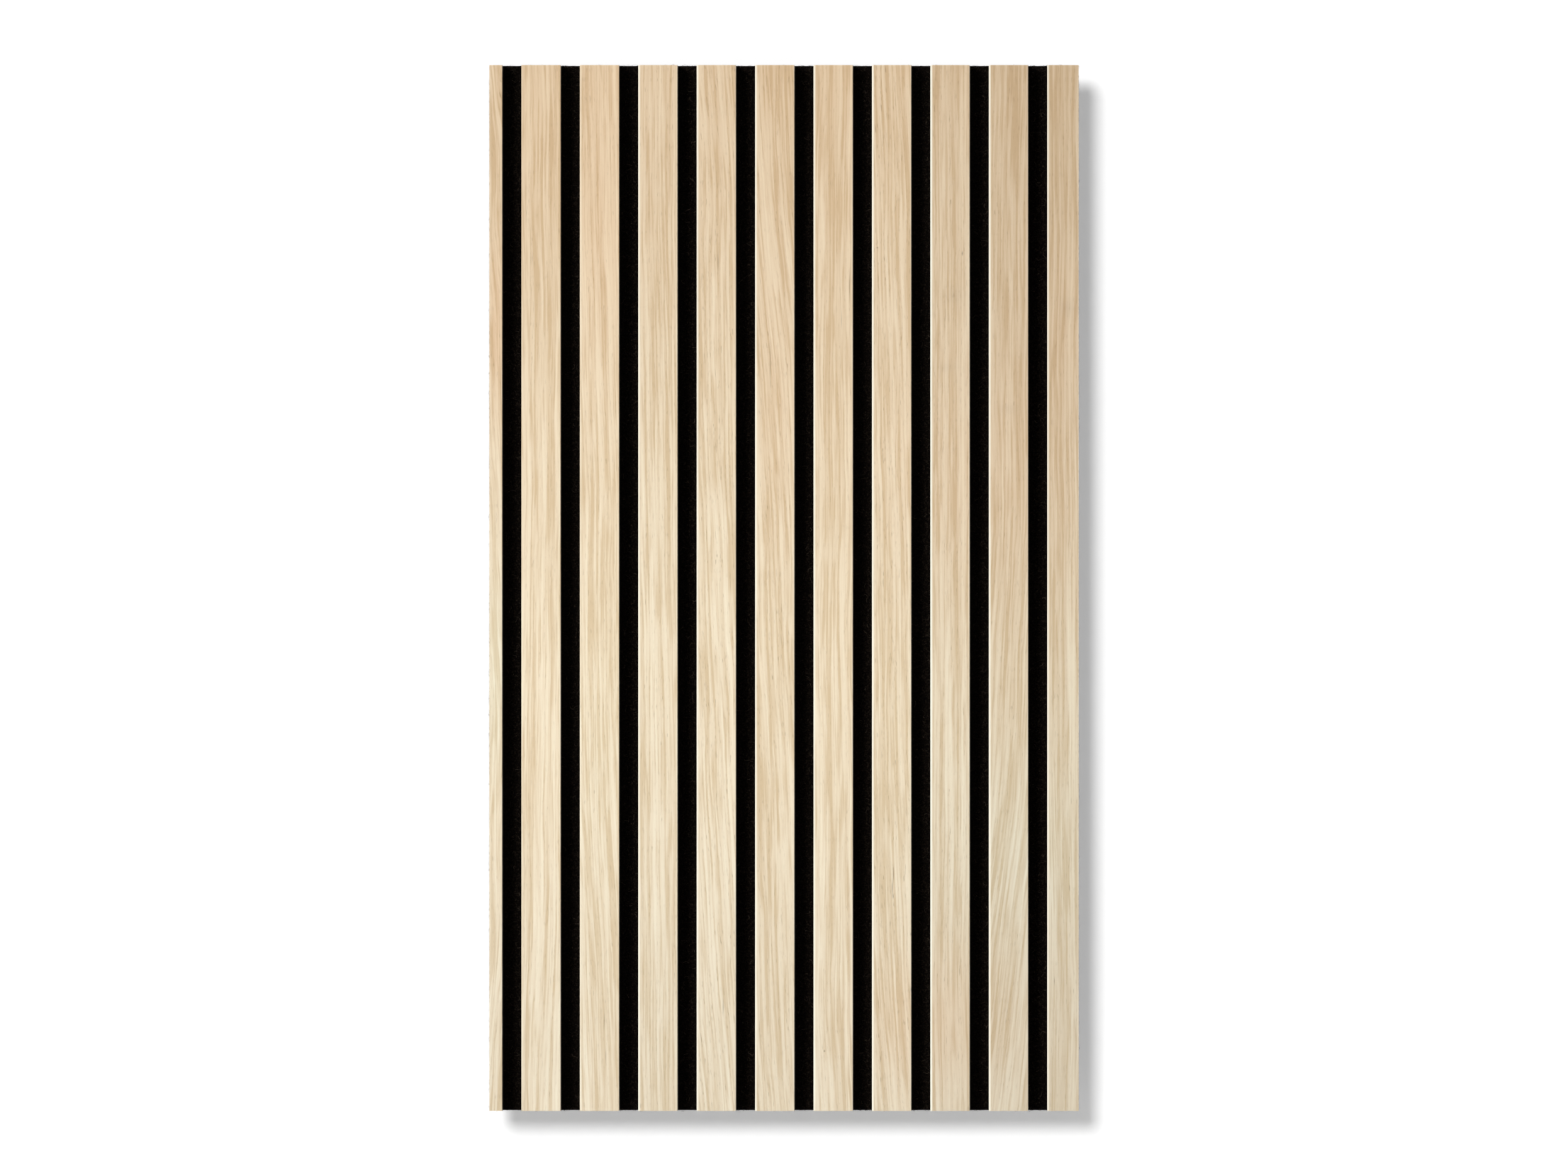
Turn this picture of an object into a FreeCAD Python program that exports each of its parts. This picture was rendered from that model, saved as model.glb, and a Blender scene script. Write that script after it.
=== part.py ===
# Acoustic slat wall panel, cut to size: oak-faced slats on a sheet of black felt.
#
# The panel stands as it hangs on a wall. X runs along its width, Z up, and its front faces -Y.
# The origin is the centre of the felt's rear face, which goes against the wall.
# Each slat is a strip of black fibreboard with a leaf of oak veneer on its front. The slats stand
# in a row with even gaps on one felt sheet, glued to it and stapled through it from behind.
# The sheet was sawn to size along the grain on both sides, so the two outer slats are strips of
# whole ones, each with one factory edge, which is eased, and one sawn edge, which is sharp.
import FreeCAD, Part
import math
import os
from collections import namedtuple

from FreeCAD import Vector

# Driving dimensions, in millimetres
PANEL_HEIGHT = 716.0
WHOLE_SLATS = 9
SLAT_WIDTH = 27.0
SLAT_GAP = 13.0
LEFT_STRIP_WIDTH = 9.0
RIGHT_STRIP_WIDTH = 21.5
FELT_THICKNESS = 9.0
CORE_THICKNESS = 11.4
VENEER_THICKNESS = 0.6
ARRIS_RADIUS = 0.5

# Staples, driven from behind with the crown along the slat
CROWN_LENGTH = 12.8
WIRE_WIDTH = 0.95
WIRE_THICKNESS = 0.65
BEND_RADIUS = 0.8
POINT_LENGTH = 1.2
CROWN_SINK = 0.3
CORE_BITE = 6.0
STAPLE_FIT = 0.02
END_DISTANCE = 50.0
EDGE_DISTANCE = 3.0
LARGEST_SPACING = 210.0

# Places that follow from the driving dimensions
WIDTH = LEFT_STRIP_WIDTH + WHOLE_SLATS * SLAT_WIDTH + (WHOLE_SLATS + 1) * SLAT_GAP + RIGHT_STRIP_WIDTH
BOTTOM = -PANEL_HEIGHT / 2
LEFT = -WIDTH / 2
RIGHT = WIDTH / 2
REAR = 0.0
FELT_FRONT = REAR - FELT_THICKNESS
CORE_FRONT = FELT_FRONT - CORE_THICKNESS
FRONT = CORE_FRONT - VENEER_THICKNESS

# left and right are the slat's sides, eased_left and eased_right say which of them is a factory
# edge, and middle is the centre line of the whole slat that it is, or was sawn from.
Slat = namedtuple("Slat", "left right eased_left eased_right middle")


def slats():
    """The slats from left to right, the two sawn strips first and last."""
    half = SLAT_WIDTH / 2
    right = LEFT + LEFT_STRIP_WIDTH
    row = [Slat(LEFT, right, False, True, right - half)]
    for _ in range(WHOLE_SLATS):
        left = row[-1].right + SLAT_GAP
        row.append(Slat(left, left + SLAT_WIDTH, True, True, left + half))
    left = row[-1].right + SLAT_GAP
    row.append(Slat(left, left + RIGHT_STRIP_WIDTH, True, False, left + half))
    return row


def upright(edges):
    """A closed outline in the XY plane, raised to the panel's full height."""
    face = Part.Face(Part.Wire(edges))
    face.translate(Vector(0, 0, BOTTOM))
    return face.extrude(Vector(0, 0, PANEL_HEIGHT))


def line(start, end):
    return Part.makeLine(Vector(*start, 0), Vector(*end, 0))


def bar(left, right, front, rear):
    """A square-edged strip or sheet of the panel's full height."""
    corners = [(left, rear), (left, front), (right, front), (right, rear)]
    return upright([line(a, b) for a, b in zip(corners, corners[1:] + corners[:1])])


def eased_corner(x, inward):
    """The rounded front corner at x, from the slat's side to its face. inward is +1 or -1."""
    reach = ARRIS_RADIUS * (1 - math.sqrt(0.5))
    side = Vector(x, FRONT + ARRIS_RADIUS, 0)
    middle = Vector(x + inward * reach, FRONT + reach, 0)
    face = Vector(x + inward * ARRIS_RADIUS, FRONT, 0)
    return side, middle, face


def veneer(slat):
    """The oak leaf on a slat's front, with its factory edges eased and its sawn edge sharp."""
    start = (slat.left, CORE_FRONT)
    end = (slat.right, CORE_FRONT)
    edges = [line(end, start)]
    face_left = (slat.left, FRONT)
    face_right = (slat.right, FRONT)
    if slat.eased_left:
        side, middle, face = eased_corner(slat.left, 1)
        edges += [line(start, (side.x, side.y)), Part.Arc(side, middle, face).toShape()]
        face_left = (face.x, face.y)
    else:
        edges.append(line(start, face_left))
    if slat.eased_right:
        side, middle, face = eased_corner(slat.right, -1)
        face_right = (face.x, face.y)
        edges += [line(face_left, face_right), Part.Arc(face, middle, side).toShape()]
        edges.append(line((side.x, side.y), end))
    else:
        edges += [line(face_left, face_right), line(face_right, end)]
    return upright(edges)


def leg_outline(side, top, fit=0.0):
    """The corners of a staple's leg seen along X, from top down to its chisel point and back.

    side is +1 for the upper leg and -1 for the lower one. fit widens the leg on every side.
    """
    outer = side * (CROWN_LENGTH / 2 + fit)
    inner = side * (CROWN_LENGTH / 2 - WIRE_THICKNESS - fit)
    tip = CROWN_SINK - FELT_THICKNESS - CORE_BITE - fit
    shoulder = tip + POINT_LENGTH
    point = (tip, (outer + inner) / 2)
    return [(top, outer), (shoulder, outer), point, (shoulder, inner), (top, inner)]

def along_x(edges, width, x, z):
    """A closed outline in the YZ plane, as thick as the wire is wide and centred on x, z."""
    solid = Part.Face(Part.Wire(edges)).extrude(Vector(width, 0, 0))
    solid.translate(Vector(x - width / 2, REAR - CROWN_SINK, z))
    return solid

def path(corners):
    """Straight edges from corner to corner, each given as y, z."""
    points = [Vector(0, y, z) for y, z in corners]
    return [Part.makeLine(a, b) for a, b in zip(points, points[1:])]

def staple(x, z):
    """A staple driven home at x, z: a crown, two round bends and two legs with chisel points."""
    upper = leg_outline(1, -BEND_RADIUS)
    lower = leg_outline(-1, -BEND_RADIUS)
    upper[-1] = (-WIRE_THICKNESS, upper[-1][1])
    lower[-1] = (-WIRE_THICKNESS, lower[-1][1])
    reach = BEND_RADIUS * (1 - math.sqrt(0.5))
    half = CROWN_LENGTH / 2
    edges = path(upper + lower[::-1])
    for side in (1, -1):
        leg_end = Vector(0, -BEND_RADIUS, side * half)
        middle = Vector(0, -reach, side * (half - reach))
        crown_end = Vector(0, 0, side * (half - BEND_RADIUS))
        edges.append(Part.Arc(leg_end, middle, crown_end).toShape())
    edges += path([(0, half - BEND_RADIUS), (0, BEND_RADIUS - half)])
    return along_x(Part.__sortEdges__(edges), WIRE_WIDTH, x, z)

def pocket(x, z):
    """What a staple at x, z takes out of the felt and the core: its legs, and a trench for its crown."""
    width = WIRE_WIDTH + 2 * STAPLE_FIT
    length = CROWN_LENGTH + 2 * STAPLE_FIT
    depth = CROWN_SINK + WIRE_THICKNESS + STAPLE_FIT
    trench = Part.makeBox(width, depth, length, Vector(x - width / 2, REAR - depth, z - length / 2))
    legs = []
    for side in (1, -1):
        corners = leg_outline(side, -WIRE_THICKNESS / 2, STAPLE_FIT)
        legs.append(along_x(path(corners + corners[:1]), width, x, z))
    return trench.fuse(legs).removeSplitter()

def staple_rows():
    """The heights of the staples on a slat, the same for every slat."""
    run = PANEL_HEIGHT - 2 * END_DISTANCE
    steps = max(1, math.ceil(run / LARGEST_SPACING))
    return [BOTTOM + END_DISTANCE + run * i / steps for i in range(steps + 1)]


def holds_staples(slat):
    """Whether the staple line of the whole slat still runs inside this one."""
    room = EDGE_DISTANCE + WIRE_WIDTH / 2
    return slat.left + room <= slat.middle <= slat.right - room


def build():
    """Every piece of the panel by its name."""
    rows = staple_rows()
    pieces = {}
    staples = []
    pockets = []
    for number, slat in enumerate(slats(), 1):
        core = bar(slat.left, slat.right, CORE_FRONT, FELT_FRONT)
        if holds_staples(slat):
            own = [pocket(slat.middle, z) for z in rows]
            staples += [staple(slat.middle, z) for z in rows]
            pockets += own
            core = core.cut(own)
        pieces[f"slat_{number:02d}_core"] = core
        pieces[f"slat_{number:02d}_oak_face"] = veneer(slat)
    felt = bar(LEFT, RIGHT, FELT_FRONT, REAR)
    pieces["felt_backing"] = felt.cut(pockets) if pockets else felt
    if staples:
        pieces["staples"] = Part.makeCompound(staples)
    return pieces


def main():
    os.makedirs("parts", exist_ok=True)
    for name, shape in build().items():
        shape.exportStep(f"parts/{name}.step")
        print(f"{name}: {len(shape.Solids)} solid(s), {shape.Volume:.1f} mm3")


main()
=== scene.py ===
import math
from collections import namedtuple

import bmesh
import bpy
from bpy.props import FloatProperty, FloatVectorProperty, IntProperty, PointerProperty
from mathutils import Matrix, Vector


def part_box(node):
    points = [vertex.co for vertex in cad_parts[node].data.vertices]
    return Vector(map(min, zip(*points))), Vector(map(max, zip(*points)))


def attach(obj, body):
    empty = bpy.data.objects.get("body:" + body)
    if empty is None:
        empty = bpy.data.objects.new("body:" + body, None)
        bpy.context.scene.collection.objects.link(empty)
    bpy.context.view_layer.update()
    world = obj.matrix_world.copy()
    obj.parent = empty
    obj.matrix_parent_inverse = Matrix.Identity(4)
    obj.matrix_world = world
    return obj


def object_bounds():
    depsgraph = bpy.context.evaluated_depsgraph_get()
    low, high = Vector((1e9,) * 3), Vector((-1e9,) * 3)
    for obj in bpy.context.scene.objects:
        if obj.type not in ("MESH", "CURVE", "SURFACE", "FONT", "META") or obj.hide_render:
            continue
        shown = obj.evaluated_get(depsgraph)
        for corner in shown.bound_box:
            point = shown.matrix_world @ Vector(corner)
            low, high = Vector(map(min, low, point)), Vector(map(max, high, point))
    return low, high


bl_info = {
    "name": "Acoustic slat wall panel",
    "version": (1, 0, 0),
    "blender": (4, 5, 0),
    "location": "3D View > Sidebar > Slat panel",
    "description": "Dresses a slat wall panel in oak veneer, black fibreboard and felt",
    "category": "Object",
}

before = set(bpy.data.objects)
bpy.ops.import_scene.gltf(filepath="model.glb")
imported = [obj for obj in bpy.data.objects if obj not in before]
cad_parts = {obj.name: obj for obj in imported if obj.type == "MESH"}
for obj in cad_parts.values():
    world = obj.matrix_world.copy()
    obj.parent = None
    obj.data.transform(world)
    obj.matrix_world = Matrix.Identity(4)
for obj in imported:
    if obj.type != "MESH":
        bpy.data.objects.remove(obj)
CAD_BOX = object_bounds()

FELT = "felt_backing"
STAPLES = "staples"
OAK_FACES = sorted(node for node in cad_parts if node.endswith("_oak_face"))
CORES = sorted(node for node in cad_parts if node.endswith("_core"))
MM = 0.001
PANEL_HEIGHT = (CAD_BOX[1].z - CAD_BOX[0].z) / MM

# What the knife left on each leaf of veneer, from left to right, with the painted light on it. top_lean
# and foot_lean are how far the grain moves sideways for each millimetre of height above and below the
# height turn, and flow is how much it wavers. tone and redness shift the whole leaf; the lower tone of
# the three right-hand slats is painted shade, darker towards the right. pores says how open its pores
# are, and arris how strong the painted highlight along its edges is. SEED_STEP keeps one slat's noise
# apart from the next one's, TURN_LENGTH is how many millimetres the lean takes to change, and
# REDNESS_STEP is the share of red and blue that a redness of 1 moves.
Figure = namedtuple("Figure", "top_lean foot_lean turn flow tone redness pores arris")
FIGURES = [
    Figure(0.06, -0.05, -60, 2.2, 1.00, 0.00, 0.8, 0.1),
    Figure(0.00, -0.02, -40, 1.0, 1.01, 0.10, 0.7, 0.1),
    Figure(0.02, 0.03, 0, 0.9, 1.015, 0.12, 0.8, 0.2),
    Figure(0.01, 0.02, -90, 0.8, 1.00, -0.15, 1.0, 0.7),
    Figure(0.03, 0.08, -130, 1.2, 1.00, -0.10, 1.2, 0.7),
    Figure(0.07, 0.04, 0, 1.2, 0.97, 0.15, 1.0, 0.7),
    Figure(0.00, 0.02, -210, 1.2, 0.98, 0.10, 0.8, 0.7),
    Figure(0.02, 0.08, -250, 1.1, 0.985, -0.10, 1.3, 0.8),
    Figure(0.00, 0.00, 0, 0.6, 0.90, 0.00, 0.9, 0.9),
    Figure(-0.01, -0.11, -70, 1.1, 0.85, 0.10, 0.9, 0.8),
    Figure(0.00, 0.00, 0, 0.7, 0.84, 0.00, 0.8, 0.6),
]
SEED_STEP = 7.3
TURN_LENGTH = 60.0
REDNESS_STEP = 0.05

# Single marks on the veneer: the slat's number, the mark's place from the slat's middle and the
# panel's middle, its half width and half height, all in millimetres, and how dark it is.
Mark = namedtuple("Mark", "slat across up wide tall dark")
MARKS = [
    Mark(3, 3.1, -297, 0.22, 5.0, 0.6),
    Mark(3, 4.2, -321, 0.22, 4.0, 0.5),
    Mark(5, 1.2, 223, 0.45, 6.0, 0.45),
    Mark(5, 4.6, -287, 0.3, 4.5, 0.5),
    Mark(6, -3.3, 153, 0.25, 12.0, 0.55),
    Mark(7, -6.1, -317, 0.4, 0.6, 0.75),
    Mark(7, 11.0, 207, 0.22, 8.0, 0.6),
    Mark(7, 5.6, 184, 0.22, 5.5, 0.45),
    Mark(8, -9.9, 233, 0.5, 0.5, 0.6),
    Mark(8, 1.2, -196, 0.3, 4.5, 0.75),
    Mark(8, 0.4, -205, 0.3, 4.5, 0.75),
    Mark(8, 1.1, -211, 0.3, 1.5, 0.7),
    Mark(8, 13.2, -237, 0.5, 1.2, 0.6),
    Mark(8, 13.2, -275, 0.5, 1.6, 0.6),
    Mark(9, 8.3, 229, 0.4, 1.3, 0.6),
    Mark(9, 3.0, 200, 5.5, 6.5, 0.10),
    Mark(9, -3.2, 151, 7.0, 3.5, 0.07),
    Mark(10, 0.0, 123, 8.0, 3.5, 0.07),
    Mark(11, 2.9, 191, 5.0, 8.5, 0.11),
    Mark(11, -6.0, -269, 0.25, 2.5, 0.6),
]

# Broad patches of the panel drawn tanner than elsewhere, or paler where tan is negative: the patch's
# place from the panel's middle and its half width and half height, in millimetres.
Patch = namedtuple("Patch", "across up wide tall tan")
PATCHES = [
    Patch(150, 75, 95, 100, 1.0),
    Patch(195, 185, 30, 60, 0.6),
    Patch(165, -180, 50, 65, -0.9),
    Patch(100, -300, 45, 50, 1.3),
    Patch(-126, -120, 20, 120, -0.6),
    Patch(-126, 235, 18, 90, 0.6),
    Patch(-197, 177, 8, 60, 1.4),
    Patch(-197, -59, 8, 70, -1.5),
    Patch(-6, 120, 18, 100, 0.55),
]

# The studio's suns: which way each one shines, and how wide it looks, in degrees. The panel's comes
# in far enough from the side to leave most of each gap in the slats' shade.
Sun = namedtuple("Sun", "towards spread")
PANEL_KEY = Sun((17, 21, -8), 22)
FRONT_FILL = Sun((1, 12, -2), 30)
REAR_KEY = Sun((-5, -12, -2), 30)
WALL_KEY = Sun((9.2, 21, -9.8), 21)
STAGE_REACH = 4.0
SENSOR_WIDTH = 36.0


class OakFinish(bpy.types.PropertyGroup):
    pale: FloatVectorProperty(
        name="Pale oak",
        description="Colour of the light wood between the growth lines",
        subtype="COLOR",
        default=(0.93, 0.82, 0.618),
    )
    body: FloatVectorProperty(
        name="Oak",
        description="Main colour of the veneer",
        subtype="COLOR",
        default=(0.845, 0.71, 0.512),
    )
    tan: FloatVectorProperty(
        name="Tan oak",
        description="Colour of the growth lines",
        subtype="COLOR",
        default=(0.70, 0.545, 0.345),
    )
    # Painted shade: the share of colour left at the top, which is drawn darker and tanner where the
    # light falls off
    top_painted_shade: FloatVectorProperty(
        name="Top shade",
        description="Share of the colour that is left at the top, where the oak is tanner",
        subtype="COLOR",
        default=(0.855, 0.765, 0.69),
    )
    foot_shade: FloatVectorProperty(
        name="Foot shade",
        description="Share of the colour that is left at the foot, where the oak is greyer",
        subtype="COLOR",
        default=(0.905, 0.930, 0.965),
    )
    patch_shade: FloatVectorProperty(
        name="Patch shade",
        description="Share of the colour that is left in the middle of a tanner patch",
        subtype="COLOR",
        default=(0.975, 0.92, 0.88),
    )
    # Painted highlight: the colour drawn along the slats' arrises, where the light catches them
    arris: FloatVectorProperty(
        name="Sanded arris",
        description="Colour of the fresh wood along the sanded edges",
        subtype="COLOR",
        default=(1.0, 0.95, 0.80),
    )
    pore: FloatVectorProperty(
        name="Pores",
        description="Colour of the open pores",
        subtype="COLOR",
        default=(0.36, 0.26, 0.15),
    )
    mark: FloatVectorProperty(
        name="Marks",
        description="Colour of the single dark marks",
        subtype="COLOR",
        default=(0.16, 0.115, 0.075),
    )
    line_width: FloatProperty(
        name="Growth line",
        description="Typical distance between growth lines",
        subtype="DISTANCE",
        default=1.6 * MM,
    )
    pore_width: FloatProperty(
        name="Pore width",
        description="Width of the open pores",
        subtype="DISTANCE",
        default=0.34 * MM,
    )
    pore_length: FloatProperty(
        name="Pore length",
        description="Length of the open pores",
        subtype="DISTANCE",
        default=6.5 * MM,
    )
    contrast: FloatProperty(
        name="Contrast",
        description="How strongly the grain is drawn",
        subtype="FACTOR",
        default=1.0,
    )
    roughness: FloatProperty(
        name="Roughness",
        description="Roughness of the matt lacquer",
        subtype="FACTOR",
        default=0.52,
    )


class BoardFinish(bpy.types.PropertyGroup):
    colour: FloatVectorProperty(
        name="Fibreboard",
        description="Colour of the dyed fibreboard",
        subtype="COLOR",
        default=(0.008, 0.0075, 0.007),
    )
    chips: FloatVectorProperty(
        name="Board fibres",
        description="Colour of the paler fibres in the board",
        subtype="COLOR",
        default=(0.030, 0.026, 0.022),
    )


class FeltFinish(bpy.types.PropertyGroup):
    colour: FloatVectorProperty(
        name="Felt",
        description="Colour of the felt",
        subtype="COLOR",
        default=(0.0018, 0.0012, 0.0009),
    )
    fleck: FloatVectorProperty(
        name="Fleck",
        description="Colour of the paler flecks in the felt",
        subtype="COLOR",
        default=(0.054, 0.039, 0.028),
    )
    fibre: FloatVectorProperty(
        name="Fibre",
        description="Colour of the palest loose fibres",
        subtype="COLOR",
        default=(0.20, 0.15, 0.11),
    )
    fibre_length: FloatProperty(
        name="Fibre length",
        description="Longest loose fibre",
        subtype="DISTANCE",
        default=4.2 * MM,
    )
    fibre_radius: FloatProperty(
        name="Fibre radius",
        description="Half the thickness of a loose fibre",
        subtype="DISTANCE",
        default=0.045 * MM,
    )
    fibre_stand: FloatProperty(
        name="Fibre stand",
        description="How far the middle of a fibre stands off the felt",
        subtype="DISTANCE",
        default=0.5 * MM,
    )
    gap_fibres: IntProperty(
        name="Fibres in the gaps",
        description="Loose fibres on the felt between the slats",
        default=5200,
    )
    edge_fibres: IntProperty(
        name="Fibres on the edges",
        description="Loose fibres on the felt's cut edges",
        default=2600,
    )
    rear_fibres: IntProperty(
        name="Fibres on the rear",
        description="Loose fibres on the felt's rear face",
        default=5200,
    )


class StapleFinish(bpy.types.PropertyGroup):
    colour: FloatVectorProperty(
        name="Staple wire",
        description="Colour of the galvanised wire",
        subtype="COLOR",
        default=(0.56, 0.57, 0.58),
    )
    roughness: FloatProperty(
        name="Roughness",
        description="Roughness of the galvanised wire",
        subtype="FACTOR",
        default=0.38,
    )


class StudioSettings(bpy.types.PropertyGroup):
    distance: FloatProperty(
        name="Camera distance",
        description="From the slats' faces to the camera",
        subtype="DISTANCE",
        default=7.0,
    )
    view_width: FloatProperty(
        name="View width",
        description="Width of the picture at the slats' faces",
        subtype="DISTANCE",
        default=1.0734,
    )
    floor_drop: FloatProperty(
        name="Floor drop",
        description="From the panel's foot down to the floor",
        subtype="DISTANCE",
        default=0.30,
    )
    key: FloatProperty(
        name="Key light",
        description="Share of the light on the slats' faces from the upper left",
        subtype="FACTOR",
        default=0.81,
    )
    wall_key: FloatProperty(
        name="Wall light",
        description="Share of the light on the wall from the upper left",
        subtype="FACTOR",
        default=0.68,
    )
    fill: FloatProperty(
        name="Front fill",
        description="Share of the light on the slats' faces from the front",
        subtype="FACTOR",
        default=0.03,
    )
    rear_key: FloatProperty(
        name="Rear light",
        description="Share of the light on the felt's rear face from behind",
        subtype="FACTOR",
        default=0.95,
    )
    ambient: FloatProperty(
        name="Ambient",
        description="Share of the light on the slats' faces from all round",
        subtype="FACTOR",
        default=0.10,
    )
    backdrop: FloatVectorProperty(
        name="Backdrop",
        description="Colour of the wall and the floor",
        subtype="COLOR",
        default=(0.90, 0.90, 0.90),
    )
    wall_lift: FloatProperty(
        name="Wall lift",
        description="How much whiter the camera sees the wall than it is lit",
        subtype="FACTOR",
        default=0.33,
    )
    floor_lift: FloatProperty(
        name="Floor lift",
        description="How much whiter the camera sees the floor than it is lit",
        subtype="FACTOR",
        default=0.92,
    )
    wall_gap: FloatProperty(
        name="Wall gap",
        description="From the felt's rear face back to the wall",
        subtype="DISTANCE",
        default=24 * MM,
    )


GROUPS = {
    "oak": OakFinish,
    "board": BoardFinish,
    "felt": FeltFinish,
    "staple": StapleFinish,
    "studio": StudioSettings,
}


def socket_of(sockets, name):
    """The socket at this place in the row, or with this identifier or name."""
    if isinstance(name, int):
        return sockets[name]
    for kind in ("identifier", "name"):
        for socket in sockets:
            if getattr(socket, kind) == name:
                return socket
    raise KeyError(f"no socket {name!r} among {[s.identifier for s in sockets]}")


class Value:
    """A socket in a node tree. Arithmetic on it adds Math nodes and gives another such socket."""

    def __init__(self, sheet, socket):
        self.sheet = sheet
        self.socket = socket

    def maths(self, operation, *operands):
        return self.sheet.add("ShaderNodeMath", {"operation": operation}, dict(enumerate(operands)))

    def __add__(self, other):
        return self.maths("ADD", self, other)

    def __radd__(self, other):
        return self.maths("ADD", other, self)

    def __sub__(self, other):
        return self.maths("SUBTRACT", self, other)

    def __rsub__(self, other):
        return self.maths("SUBTRACT", other, self)

    def __mul__(self, other):
        return self.maths("MULTIPLY", self, other)

    def __rmul__(self, other):
        return self.maths("MULTIPLY", other, self)

    def __truediv__(self, other):
        return self.maths("DIVIDE", self, other)

    def __neg__(self):
        return self.maths("MULTIPLY", self, -1.0)

    def __abs__(self):
        return self.maths("ABSOLUTE", self)

    def __pow__(self, power):
        return self.maths("POWER", self, power)

    def bell(self, width):
        """1 where the value is 0, falling to 0 over a few widths."""
        return self.maths("EXPONENT", -((self / width) ** 2))

    def rise(self, start, end):
        """0 up to start and 1 from end on, with a smooth rise between them."""
        limits = {"Value": self, "From Min": start, "From Max": end}
        return self.sheet.add("ShaderNodeMapRange", {"interpolation_type": "SMOOTHSTEP"}, limits)


class Sheet:
    """A node tree that is written call by call."""

    def __init__(self, tree):
        self.tree = tree

    def add(self, kind, settings=None, values=None, out=0):
        """Adds a node with its settings, then its sockets' values or links, and gives its output."""
        node = self.tree.nodes.new(kind)
        for name, setting in (settings or {}).items():
            if name == "stops":
                self.set_stops(node.color_ramp, setting)
            else:
                setattr(node, name, setting)
        for name, value in (values or {}).items():
            socket = socket_of(node.inputs, name)
            if isinstance(value, Value):
                self.tree.links.new(value.socket, socket)
            else:
                socket.default_value = value
        return Value(self, socket_of(node.outputs, out))

    @staticmethod
    def set_stops(ramp, stops):
        while len(ramp.elements) < len(stops):
            ramp.elements.new(1.0)
        for element, (place, colour) in zip(ramp.elements, stops):
            element.position = place
            element.color = (*colour, 1.0)

    def more(self, value, out):
        """Another output of the node that made this value."""
        return Value(self, socket_of(value.socket.node.outputs, out))

    def vector(self, x, y, z):
        return self.add("ShaderNodeCombineXYZ", None, {"X": x, "Y": y, "Z": z})

    def mix(self, factor, first, second, blend="MIX"):
        """A colour between two colours."""
        colours = {"Factor_Float": factor}
        for name, colour in (("A_Color", first), ("B_Color", second)):
            colours[name] = colour if isinstance(colour, Value) else (*colour, 1.0)
        settings = {"data_type": "RGBA", "blend_type": blend}
        return self.add("ShaderNodeMix", settings, colours, "Result_Color")


class Finish(Sheet):
    """A material's node tree, with its Principled shader and the surface's place in millimetres."""

    def __init__(self, name):
        self.material = bpy.data.materials.new(name)
        self.material.use_nodes = True
        super().__init__(self.material.node_tree)
        self.tree.nodes.clear()
        self.place = self.add("ShaderNodeTexCoord", out="Object")
        self.x = self.axis(self.place, "X") / MM
        self.y = self.axis(self.place, "Y") / MM
        self.z = self.axis(self.place, "Z") / MM

    def axis(self, vector, name):
        return self.add("ShaderNodeSeparateXYZ", None, {"Vector": vector}, name)

    def facing(self, name):
        """How far the surface faces along an axis, from -1 to 1."""
        return self.axis(self.add("ShaderNodeNewGeometry", out="Normal"), name)

    def noise(self, x, y, z, detail=2.0, roughness=0.5):
        """Smooth noise about 0 with cells about 1 across, mostly between -0.25 and 0.25."""
        place = self.vector(x, y, z)
        values = {"Vector": place, "Scale": 1.0, "Detail": detail, "Roughness": roughness}
        return self.add("ShaderNodeTexNoise", None, values, "Fac") - 0.5

    def bump(self, height, depth, strength=1.0):
        """A normal from a height of 0 to 1 that stands for a depth in metres."""
        values = {"Height": height, "Distance": depth, "Strength": strength}
        return self.add("ShaderNodeBump", None, values)

    def dress(self, **sockets):
        """Ends the material in a Principled shader. Underscores stand for spaces."""
        values = {name.replace("_", " "): value for name, value in sockets.items()}
        surface = self.add("ShaderNodeBsdfPrincipled", None, values)
        self.add_output(surface)
        return self.material

    def add_output(self, surface):
        output = self.tree.nodes.new("ShaderNodeOutputMaterial")
        self.tree.links.new(surface.socket, output.inputs["Surface"])


def finish_node(node, material):
    """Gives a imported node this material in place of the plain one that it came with."""
    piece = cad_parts[node]
    if not piece.material_slots:
        piece.data.materials.append(material)
    for slot in piece.material_slots:
        slot.material = material


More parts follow.
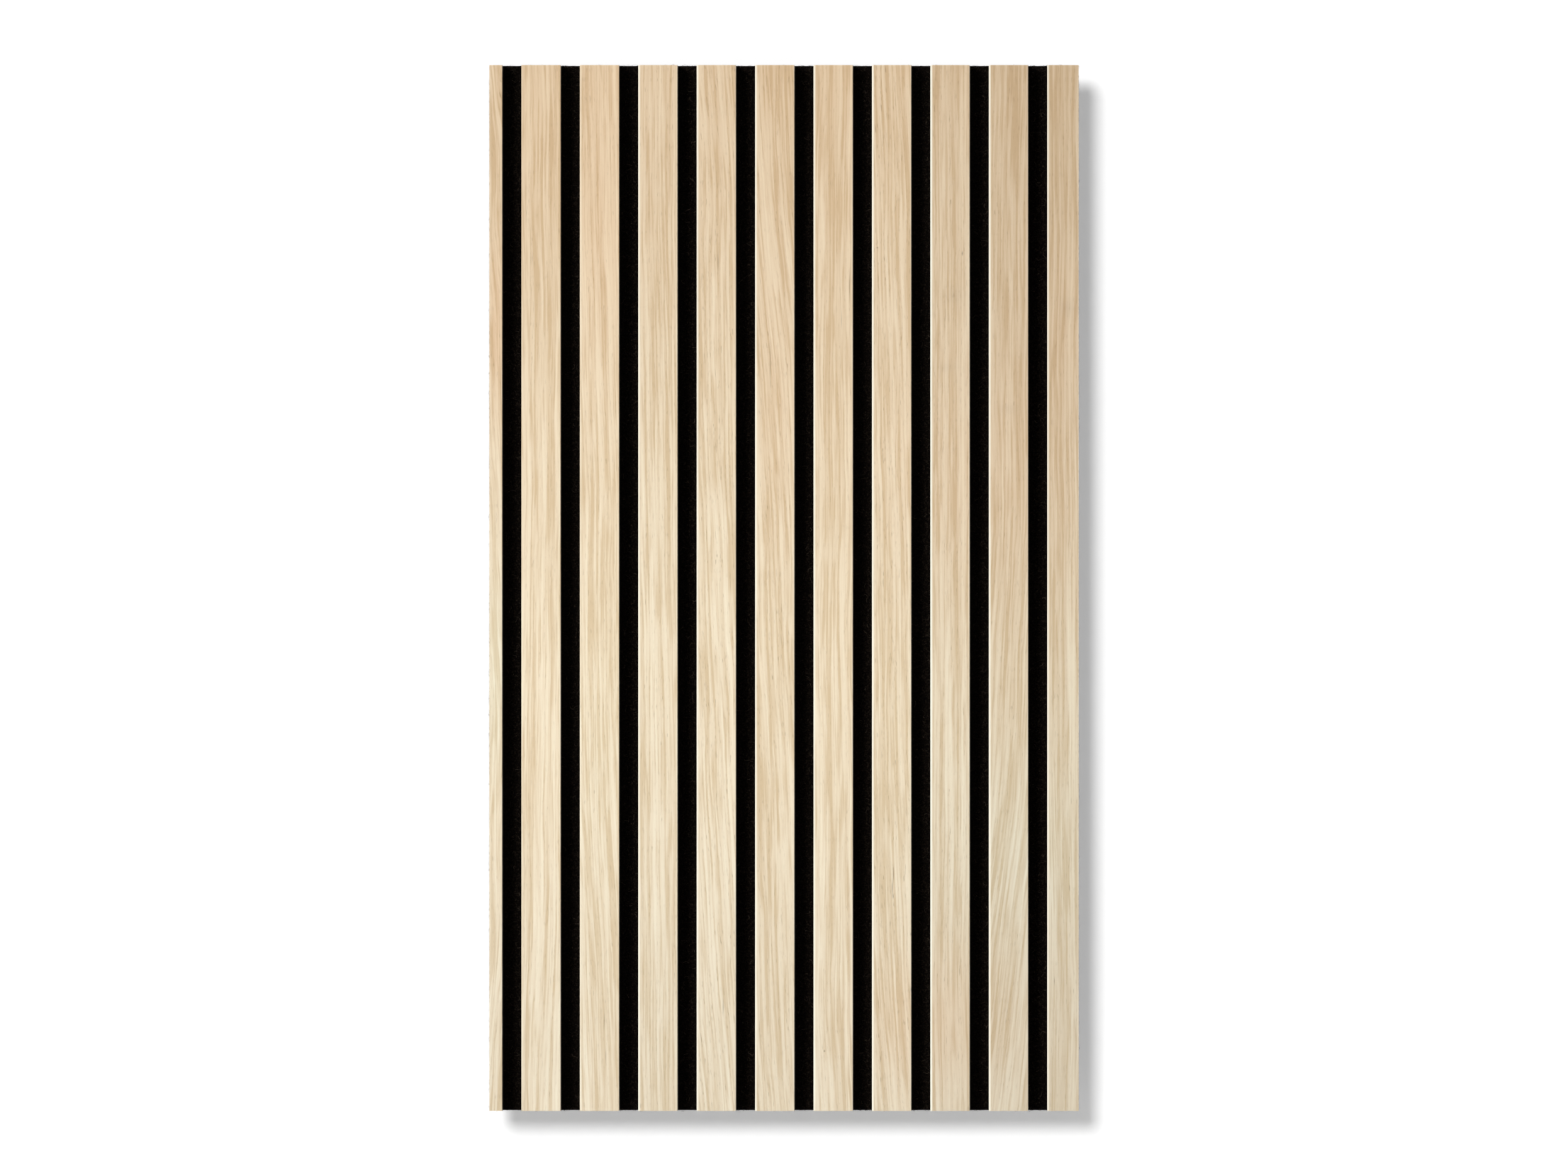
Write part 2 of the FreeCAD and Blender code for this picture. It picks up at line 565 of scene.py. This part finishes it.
def oak_veneer(number, figure, node, oak):
    """The veneer of one slat, drawn by its own figure. Lengths here are in millimetres."""
    low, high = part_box(node)
    sheet = Finish(f"oak_veneer_{number:02d}")
    seed = SEED_STEP * number
    middle = (low.x + high.x) / 2 / MM
    half = (high.x - low.x) / 2 / MM
    across = sheet.x - middle
    up = sheet.z

    # The grain's own sideways coordinate: the slat's, pushed about by waves of falling length
    waver = sheet.noise(seed, up / 210, 0.0, 1.0) * 10.0 * figure.flow
    ripple = sheet.noise(across / 9, up / 110, seed + 3.1, 2.0) * 3.4 * figure.flow
    tremor = sheet.noise(across / 2.5, up / 22, seed + 4.4, 2.0) * 1.1
    lean = (figure.top_lean + figure.foot_lean) / 2
    bend = (figure.top_lean - figure.foot_lean) / 2
    above = up - figure.turn
    leaning = above * lean + (above ** 2 + TURN_LENGTH ** 2) ** 0.5 * bend
    grain = across + waver + ripple + tremor + leaning

    # Growth lines, broad bands, fibres, the darker edges of growth lines, pores and clouds. Each
    # noise is drawn out along the slat, and its seed keeps it apart from the others.
    year = sheet.noise(grain / (oak.line_width / MM), up / 140, seed + 5.7, 2.5, 0.42)
    band = sheet.noise(grain / 6.0, up / 600, seed + 9.2, 1.0)
    fibre = sheet.noise(grain / 0.6, up / 24, seed + 13.4, 2.0, 0.6)
    edge = abs(sheet.noise(grain / 2.3, up / 140, seed + 31.6, 1.5, 0.5)).rise(0.14, 0.0)
    line = edge * sheet.noise(grain / 3.0, up / 40, seed + 37.2, 2.0).rise(-0.20, 0.10)
    speck = sheet.noise(grain / (oak.pore_width / MM), up / (oak.pore_length / MM), seed + 17.9, 1.0)
    pore = speck.rise(0.13, 0.23) * (year.rise(0.10, -0.12) * 0.7 + 0.3)
    cloud = sheet.noise(across / 30, up / 60, seed + 21.0, 2.0)

    # The wood's place on the way from tan to pale, then what lies in it and on it
    grained = year + band * 0.65 + fibre * 0.38 + cloud * 0.12 - line * 0.32
    drawn = 0.54 + grained * oak.contrast
    stops = [(0.18, oak.tan), (0.5, oak.body), (0.82, oak.pale)]
    wood = sheet.add("ShaderNodeValToRGB", {"stops": stops}, {"Fac": drawn}, "Color")
    wood = sheet.mix(pore * (0.6 * figure.pores), wood, oak.pore)
    for mark in MARKS:
        if mark.slat == number:
            off_side = (across - mark.across + tremor * 0.6).bell(mark.wide)
            off_height = (up - mark.up).bell(mark.tall)
            wood = sheet.mix(off_side * off_height * mark.dark, wood, oak.mark)

    # Painted shade towards the top, which is drawn darker and tanner where the light falls off; greyer
    # towards the foot, and uneven in between
    rising = up / PANEL_HEIGHT
    top = rising.rise(-0.12, 0.62)
    foot = rising.rise(-0.05, -0.55)
    wood = sheet.mix(top, wood, sheet.mix(1.0, wood, oak.top_painted_shade, "MULTIPLY"))
    wood = sheet.mix(foot, wood, sheet.mix(1.0, wood, oak.foot_shade, "MULTIPLY"))
    tan = 0.0
    for patch in PATCHES:
        within = (sheet.x - patch.across).bell(patch.wide) * (up - patch.up).bell(patch.tall)
        tan = within * patch.tan + tan
    shade = sheet.vector(*[1.0 - tan * (1.0 - share) for share in oak.patch_shade])
    wood = sheet.mix(1.0, wood, shade, "MULTIPLY")
    redness = figure.redness * REDNESS_STEP
    # The tone shifts the whole leaf; on the three right-hand slats the lower tone is painted shade,
    # darker towards the right
    tint = [figure.tone * (1 + redness), figure.tone, figure.tone * (1 - redness)]
    wood = sheet.mix(1.0, wood, tint, "MULTIPLY")

    # Painted highlight along the arrises, wider and brighter on the left edge, where the light from the
    # upper left catches it, than on the right one
    left_arris_highlight = (across + half).rise(1.7, 0.6)
    right_arris_highlight = (across - half).rise(-1.0, -0.4)
    highlighted = left_arris_highlight + right_arris_highlight * 0.25
    wood = sheet.mix(highlighted * figure.arris, wood, oak.arris)

    relief = 0.6 + fibre * 0.5 + year * 0.35 - pore * 0.6
    return sheet.dress(
        Base_Color=wood,
        Roughness=oak.roughness + pore * 0.2 + fibre * 0.12,
        Specular_IOR_Level=0.35,
        Normal=sheet.bump(relief, 0.06 * MM, 0.8),
    )


def black_fibreboard(board):
    """Dyed fibreboard with the ripple that the saw left, which shows on the slats' sides and ends."""
    sheet = Finish("black_fibreboard")
    matted = sheet.noise(sheet.x / 0.5, sheet.y / 0.35, sheet.z / 0.7, 3.0, 0.6)
    fibres = sheet.noise(sheet.x / 0.8, sheet.y / 0.25, sheet.z / 2.4, 2.0).rise(0.12, 0.26)
    saw = sheet.noise(sheet.y / 20 + sheet.x / 30, sheet.z / 0.9, 2.0, 1.0)
    return sheet.dress(
        Base_Color=sheet.mix(fibres * 0.8, board.colour, board.chips),
        Roughness=0.78 + matted * 0.3,
        Specular_IOR_Level=0.1,
        Normal=sheet.bump(0.5 + matted * 0.6 + saw * 0.8, 0.08 * MM, 0.8),
    )


def black_felt(felt):
    """Needle-punched felt: a matted surface with soft pits and paler flecks."""
    sheet = Finish("black_felt")
    matted = sheet.noise(sheet.x / 0.55, sheet.y / 0.55, sheet.z / 0.55, 4.0, 0.65)
    pits = sheet.noise(sheet.x / 2.2, sheet.y / 2.2, sheet.z / 2.2, 2.0)
    coarse = sheet.noise(sheet.x / 1.9, sheet.y / 1.9, sheet.z / 1.9, 2.0, 0.6)
    fine = sheet.noise(sheet.x / 1.1 + 40, sheet.y / 1.1, sheet.z / 1.1, 2.0, 0.6)
    strands = abs(coarse).rise(0.030, 0.0) + abs(fine).rise(0.035, 0.0) * 0.6
    flecks = strands * (matted + pits * 0.6).rise(-0.20, 0.35)
    return sheet.dress(
        Base_Color=sheet.mix(flecks, felt.colour, felt.fleck),
        Roughness=0.94 + matted * 0.1,
        Specular_IOR_Level=0.03,
        Normal=sheet.bump(0.4 + matted * 0.6 + pits * 0.8 + strands * 0.15, 0.35 * MM, 0.9),
    )


def felt_fibre(felt):
    """A loose polyester fibre. Its tint attribute says how pale it is."""
    sheet = Finish("felt_fibre")
    tint = sheet.add("ShaderNodeAttribute", {"attribute_name": "tint"}, None, "Fac")
    return sheet.dress(
        Base_Color=sheet.mix(tint ** 4, felt.colour, felt.fibre),
        Roughness=0.6,
        Specular_IOR_Level=0.1,
    )


def galvanised_wire(staple):
    """Galvanised flat wire, a little dull and streaked along its length."""
    sheet = Finish("galvanised_wire")
    spangle = sheet.noise(sheet.x / 0.5, sheet.y / 1.2, sheet.z / 1.2, 2.0)
    dull = [channel * 0.72 for channel in staple.colour]
    return sheet.dress(
        Base_Color=sheet.mix(spangle.rise(-0.2, 0.2), dull, staple.colour),
        Metallic=1.0,
        Roughness=staple.roughness + spangle * 0.3,
        Normal=sheet.bump(0.5 + spangle, 0.02 * MM, 0.5),
    )


def rectangles(name, patches):
    """A mesh of rectangles, each given by a corner and its two sides, facing along their product."""
    shape = bmesh.new()
    for corner, side, other in patches:
        corner, side, other = Vector(corner), Vector(side), Vector(other)
        corners = [corner, corner + side, corner + side + other, corner + other]
        shape.faces.new([shape.verts.new(c) for c in corners])
    mesh = bpy.data.meshes.new(name)
    shape.to_mesh(mesh)
    shape.free()
    return mesh


def area_of(mesh):
    return sum(face.area for face in mesh.polygons)


def gap_patches():
    """The felt that shows between the slats."""
    low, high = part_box(FELT)
    height = high.z - low.z
    patches = []
    for left, right in zip(CORES, CORES[1:]):
        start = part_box(left)[1].x
        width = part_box(right)[0].x - start
        patches.append(((start, low.y, low.z), (width, 0, 0), (0, 0, height)))
    return patches


def edge_patches():
    """The felt's cut edges."""
    low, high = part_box(FELT)
    size = high - low
    across, deep, tall = (size.x, 0, 0), (0, size.y, 0), (0, 0, size.z)
    return [
        ((low.x, low.y, low.z), tall, deep),
        ((high.x, low.y, low.z), deep, tall),
        ((low.x, low.y, high.z), across, deep),
        ((low.x, low.y, low.z), deep, across),
    ]


def rear_patches():
    low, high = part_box(FELT)
    size = high - low
    return [((low.x, high.y, low.z), (0, 0, size.z), (size.x, 0, 0))]


def fibre_tree():
    """A Geometry Nodes tree that strews curved fibres over the faces of a mesh."""
    tree = bpy.data.node_groups.new("felt_fibres", "GeometryNodeTree")
    tree.interface.new_socket("Geometry", in_out="INPUT", socket_type="NodeSocketGeometry")
    for name in ("Length", "Radius", "Stand", "Density"):
        tree.interface.new_socket(name, in_out="INPUT", socket_type="NodeSocketFloat")
    tree.interface.new_socket("Seed", in_out="INPUT", socket_type="NodeSocketInt")
    tree.interface.new_socket("Material", in_out="INPUT", socket_type="NodeSocketMaterial")
    tree.interface.new_socket("Geometry", in_out="OUTPUT", socket_type="NodeSocketGeometry")
    sheet = Sheet(tree)
    given = sheet.add("NodeGroupInput", out="Geometry")
    length = sheet.more(given, "Length")
    stand = sheet.more(given, "Stand")
    seed = sheet.more(given, "Seed")

    # Points on the faces, each with a turn about the face's normal and a size of its own
    scatter = {"Mesh": given, "Density": sheet.more(given, "Density"), "Seed": seed}
    points = sheet.add("GeometryNodeDistributePointsOnFaces", None, scatter, "Points")
    turn = {"Max_001": math.tau, "Seed": seed + 1}
    turn = sheet.add("FunctionNodeRandomValue", None, turn, "Value_001")
    spin = sheet.add("FunctionNodeEulerToRotation", None, {"Euler": sheet.vector(0.0, 0.0, turn)})
    turned = {"Rotation": sheet.more(points, "Rotation"), "Rotate By": spin}
    rotation = sheet.add("FunctionNodeRotateRotation", {"rotation_space": "LOCAL"}, turned)
    scale = {"Min_001": 0.35, "Max_001": 1.0, "Seed": seed + 2}
    scale = sheet.add("FunctionNodeRandomValue", None, scale, "Value_001")

    # A bowed fibre at each point, with a tint of its own
    bow = {
        "Resolution": 5,
        "Start": sheet.vector(length * -0.5, 0.0, stand * -0.4),
        "Middle": sheet.vector(0.0, length * 0.35, stand * 2.2),
        "End": sheet.vector(length * 0.5, 0.0, stand * 0.1),
    }
    fibre = sheet.add("GeometryNodeCurveQuadraticBezier", None, bow)
    placed = {"Points": points, "Instance": fibre, "Rotation": rotation, "Scale": scale}
    fibres = sheet.add("GeometryNodeInstanceOnPoints", None, placed)
    shade = sheet.add("FunctionNodeRandomValue", None, {"Seed": seed + 3}, "Value_001")
    tinted = {"Geometry": fibres, "Name": "tint", "Value": shade}
    settings = {"data_type": "FLOAT", "domain": "INSTANCE"}
    fibres = sheet.add("GeometryNodeStoreNamedAttribute", settings, tinted)
    fibres = sheet.add("GeometryNodeRealizeInstances", None, {"Geometry": fibres})

    # Curl from a noise, and a thin three-sided body
    curl = sheet.add("ShaderNodeTexNoise", None, {"Scale": 420.0, "Detail": 1.0}, "Color")
    from_middle = {0: curl, 1: (0.5, 0.5, 0.5)}
    curl = sheet.add("ShaderNodeVectorMath", {"operation": "SUBTRACT"}, from_middle)
    by_length = {0: curl, "Scale": length * 0.75}
    curl = sheet.add("ShaderNodeVectorMath", {"operation": "SCALE"}, by_length)
    fibres = sheet.add("GeometryNodeSetPosition", None, {"Geometry": fibres, "Offset": curl})
    ring = {"Resolution": 3, "Radius": sheet.more(given, "Radius")}
    ring = sheet.add("GeometryNodeCurvePrimitiveCircle", {"mode": "RADIUS"}, ring)
    solid = {"Curve": fibres, "Profile Curve": ring, "Fill Caps": True}
    fibres = sheet.add("GeometryNodeCurveToMesh", None, solid)
    fibres = sheet.add("GeometryNodeRealizeInstances", None, {"Geometry": fibres})
    painted = {"Geometry": fibres, "Material": sheet.more(given, "Material")}
    fibres = sheet.add("GeometryNodeSetMaterial", None, painted)
    output = tree.nodes.new("NodeGroupOutput")
    tree.links.new(fibres.socket, output.inputs["Geometry"])
    return tree


def grown(name, base, tree, inputs):
    """A plain mesh object from what the tree makes of a base mesh, with its inputs set by name."""
    ground = bpy.data.objects.new(f"{name}_ground", base)
    bpy.context.scene.collection.objects.link(ground)
    modifier = ground.modifiers.new("grow", "NODES")
    modifier.node_group = tree
    for item in tree.interface.items_tree:
        if item.in_out == "INPUT" and item.name in inputs:
            modifier[item.identifier] = inputs[item.name]
    graph = bpy.context.evaluated_depsgraph_get()
    mesh = bpy.data.meshes.new_from_object(ground.evaluated_get(graph))
    ground.modifiers.remove(modifier)
    bpy.data.objects.remove(ground)
    mesh.name = name
    if not mesh.polygons:
        raise RuntimeError(f"{name} came out empty")
    piece = bpy.data.objects.new(name, mesh)
    bpy.context.scene.collection.objects.link(piece)
    return piece


class SLATPANEL_OT_oak_faces(bpy.types.Operator):
    """Give each slat's oak face a veneer with a figure of its own"""

    bl_idname = "slatpanel.oak_faces"
    bl_label = "Finish the oak faces"

    def execute(self, context):
        oak = context.scene.slatpanel_oak
        for number, (node, figure) in enumerate(zip(OAK_FACES, FIGURES), 1):
            finish_node(node, oak_veneer(number, figure, node, oak))
        return {"FINISHED"}


class SLATPANEL_OT_cores(bpy.types.Operator):
    """Give the slats' cores the look of sawn black fibreboard"""

    bl_idname = "slatpanel.cores"
    bl_label = "Finish the slat cores"

    def execute(self, context):
        material = black_fibreboard(context.scene.slatpanel_board)
        for node in CORES:
            finish_node(node, material)
        return {"FINISHED"}


class SLATPANEL_OT_felt(bpy.types.Operator):
    """Give the backing the look of needle-punched felt"""

    bl_idname = "slatpanel.felt"
    bl_label = "Finish the felt backing"

    def execute(self, context):
        finish_node(FELT, black_felt(context.scene.slatpanel_felt))
        return {"FINISHED"}


class SLATPANEL_OT_felt_fibres(bpy.types.Operator):
    """Strew loose fibres over the felt in the gaps, on its cut edges and on its rear face"""

    bl_idname = "slatpanel.felt_fibres"
    bl_label = "Grow the loose felt fibres"

    def execute(self, context):
        felt = context.scene.slatpanel_felt
        tree = fibre_tree()
        material = felt_fibre(felt)
        places = {
            "gaps": (gap_patches(), felt.gap_fibres),
            "edges": (edge_patches(), felt.edge_fibres),
            "rear": (rear_patches(), felt.rear_fibres),
        }
        for seed, (place, (patches, count)) in enumerate(places.items(), 1):
            base = rectangles(f"felt_{place}", patches)
            inputs = {
                "Length": felt.fibre_length,
                "Radius": felt.fibre_radius,
                "Stand": felt.fibre_stand,
                "Density": count / area_of(base),
                "Seed": seed,
                "Material": material,
            }
            piece = grown(f"felt_fibres_{place}", base, tree, inputs)
            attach(piece, "root")
        return {"FINISHED"}


class SLATPANEL_OT_staples(bpy.types.Operator):
    """Give the staples the look of galvanised wire"""

    bl_idname = "slatpanel.staples"
    bl_label = "Finish the staples"

    def execute(self, context):
        finish_node(STAPLES, galvanised_wire(context.scene.slatpanel_staple))
        return {"FINISHED"}


def direct_sight(sheet):
    """1 for what the camera sees straight on, in gloss or through glass, and 0 for other light."""
    rays = sheet.add("ShaderNodeLightPath", out="Is Camera Ray")
    seen = rays + sheet.more(rays, "Is Glossy Ray") + sheet.more(rays, "Is Transmission Ray")
    return seen.maths("MINIMUM", seen, 1.0)


def backdrop_material(name, colour, lift):
    """Matt white that is solid from the front, and clear from behind and to the rear light.

    lift is how much whiter it looks to the camera than it is lit.
    """
    sheet = Finish(name)
    matt = sheet.add("ShaderNodeBsdfDiffuse", None, {"Color": (*colour, 1.0)})
    white = sheet.add("ShaderNodeEmission", None, {"Strength": direct_sight(sheet) * lift})
    solid = sheet.add("ShaderNodeAddShader", None, {0: matt, 1: white})
    clear = sheet.add("ShaderNodeBsdfTransparent")
    behind = sheet.add("ShaderNodeNewGeometry", out="Backfacing")
    behind = behind.maths("MAXIMUM", behind, sheet.add("ShaderNodeLightPath", out="Is Shadow Ray"))
    sheet.add_output(sheet.add("ShaderNodeMixShader", None, {0: behind, 1: solid, 2: clear}))
    return sheet.material


def stage_piece(name, patches, material):
    piece = bpy.data.objects.new(name, rectangles(name, patches))
    piece.data.materials.append(material)
    bpy.context.scene.collection.objects.link(piece)
    return piece


def group_of(name, pieces):
    """A collection of these pieces, for a lamp to light or to be blocked by."""
    group = bpy.data.collections.new(name)
    for piece in pieces:
        group.objects.link(piece)
    return group


def soft_sun(name, kind, share, lit):
    """A sun that gives a share of full light to what faces along Y, and lights only these pieces."""
    lamp = bpy.data.lights.new(name, "SUN")
    direction = Vector(kind.towards).normalized()
    lamp.energy = math.pi * share / abs(direction.y)
    lamp.angle = math.radians(kind.spread)
    sun = bpy.data.objects.new(name, lamp)
    sun.rotation_euler = direction.to_track_quat("-Z", "Y").to_euler()
    bpy.context.scene.collection.objects.link(sun)
    sun.light_linking.receiver_collection = group_of(f"{name}_lit", lit)
    return sun


def white_world(ambient):
    """A world that lights the scene a little and looks white to the eye, in gloss and through glass."""
    world = bpy.data.worlds.new("studio_world")
    world.use_nodes = True
    sheet = Sheet(world.node_tree)
    sheet.tree.nodes.clear()
    strength = ambient + direct_sight(sheet) * (1.0 - ambient)
    white = {"Color": (1.0, 1.0, 1.0, 1.0), "Strength": strength}
    light = sheet.add("ShaderNodeBackground", None, white)
    output = sheet.tree.nodes.new("ShaderNodeOutputWorld")
    sheet.tree.links.new(light.socket, output.inputs["Surface"])
    bpy.context.scene.world = world


class SLATPANEL_OT_studio(bpy.types.Operator):
    """Set up the wall, the floor, the lights and the camera"""

    bl_idname = "slatpanel.studio"
    bl_label = "Set up the studio"

    def execute(self, context):
        studio = context.scene.slatpanel_studio
        panel = [piece for piece in context.scene.objects if piece.type == "MESH"]
        low, high = CAD_BOX
        corner = (-STAGE_REACH, high.y + studio.wall_gap, low.z - studio.floor_drop)
        along = (2 * STAGE_REACH, 0, 0)
        rise = (0, 0, STAGE_REACH - corner[2])
        forward = (0, -2 * STAGE_REACH, 0)
        white_wall = backdrop_material("white_wall", studio.backdrop, studio.wall_lift)
        wall = stage_piece("wall", [(corner, along, rise)], white_wall)
        white_floor = backdrop_material("white_floor", studio.backdrop, studio.floor_lift)
        stage_piece("floor", [(corner, forward, along)], white_floor)

        soft_sun("panel_key", PANEL_KEY, studio.key, panel)
        soft_sun("front_fill", FRONT_FILL, studio.fill, panel)
        soft_sun("rear_key", REAR_KEY, studio.rear_key, panel)
        # Only the felt blocks the wall's sun, so the shadow's edges are straight
        wall_key = soft_sun("wall_key", WALL_KEY, studio.wall_key, [wall])
        wall_key.light_linking.blocker_collection = group_of("wall_shade", [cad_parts[FELT]])
        white_world(studio.ambient)

        lens = bpy.data.cameras.new("camera")
        lens.sensor_width = SENSOR_WIDTH
        lens.lens = SENSOR_WIDTH * studio.distance / studio.view_width
        camera = bpy.data.objects.new("camera", lens)
        camera.location = (0.0, low.y - studio.distance, 0.0)
        camera.rotation_euler = (math.radians(90), 0.0, 0.0)
        context.scene.collection.objects.link(camera)
        context.scene.camera = camera
        context.scene.view_settings.view_transform = "Standard"
        return {"FINISHED"}


STEPS = [
    SLATPANEL_OT_oak_faces,
    SLATPANEL_OT_cores,
    SLATPANEL_OT_felt,
    SLATPANEL_OT_felt_fibres,
    SLATPANEL_OT_staples,
    SLATPANEL_OT_studio,
]


class SLATPANEL_PT_sidebar(bpy.types.Panel):
    """The steps that dress the panel, with their sizes and colours"""

    bl_idname = "SLATPANEL_PT_sidebar"
    bl_label = "Slat wall panel"
    bl_space_type = "VIEW_3D"
    bl_region_type = "UI"
    bl_category = "Slat panel"

    def draw(self, context):
        for name, group in GROUPS.items():
            box = self.layout.box()
            for setting in group.__annotations__:
                box.prop(getattr(context.scene, f"slatpanel_{name}"), setting)
        for step in STEPS:
            self.layout.operator(step.bl_idname)


def register():
    for name, group in GROUPS.items():
        bpy.utils.register_class(group)
        setattr(bpy.types.Scene, f"slatpanel_{name}", PointerProperty(type=group))
    for step in STEPS:
        bpy.utils.register_class(step)
    bpy.utils.register_class(SLATPANEL_PT_sidebar)


def unregister():
    bpy.utils.unregister_class(SLATPANEL_PT_sidebar)
    for step in reversed(STEPS):
        bpy.utils.unregister_class(step)
    for name, group in reversed(GROUPS.items()):
        delattr(bpy.types.Scene, f"slatpanel_{name}")
        bpy.utils.unregister_class(group)


def main():
    register()
    bpy.ops.slatpanel.oak_faces()
    bpy.ops.slatpanel.cores()
    bpy.ops.slatpanel.felt()
    bpy.ops.slatpanel.felt_fibres()
    bpy.ops.slatpanel.staples()
    bpy.ops.slatpanel.studio()


if __name__ == "__main__":
    main()
